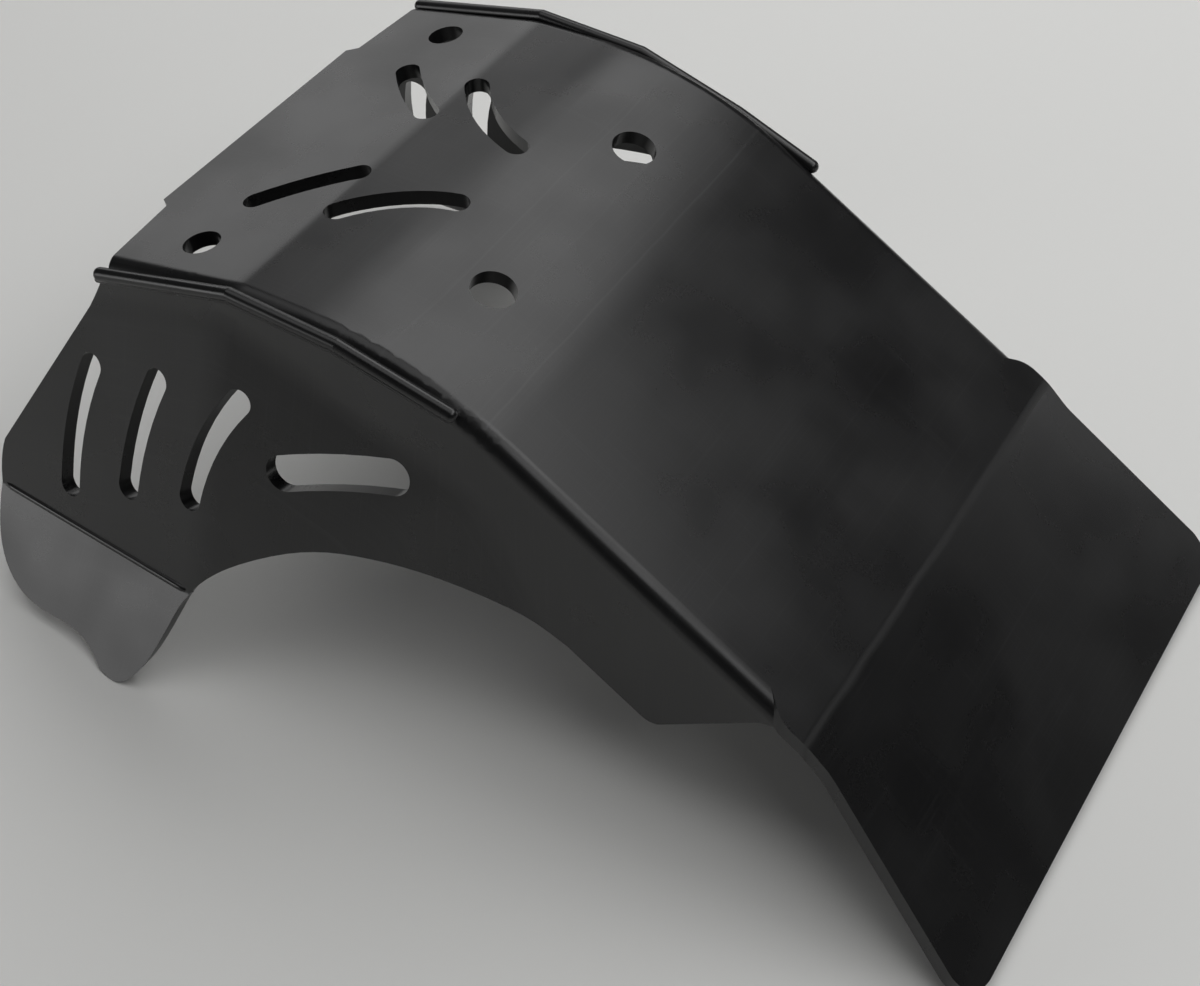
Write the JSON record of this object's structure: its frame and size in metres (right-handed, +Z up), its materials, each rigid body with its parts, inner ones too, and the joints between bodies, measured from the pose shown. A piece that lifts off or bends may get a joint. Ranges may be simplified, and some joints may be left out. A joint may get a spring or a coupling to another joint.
{
  "type": "motorcycle skid plate",
  "caption": "Folded and welded plastic skid plate with a flared front panel, slotted side wings with outward lips, drain slots and bolt access holes, lying outer face up.",
  "frame": {"origin": "bottom centre of the bounding box, on the surface that the plate lies on", "axes": "+Z up through the outer face as it lies, -Y towards the front edge, X across the plate"},
  "size_m": [0.4326, 0.57, 0.2282],
  "materials": {
    "black_plastic": "satin"
  },
  "bodies": {
    "root": {"skid_plate": "black_plastic"}
  },
  "joints": []
}
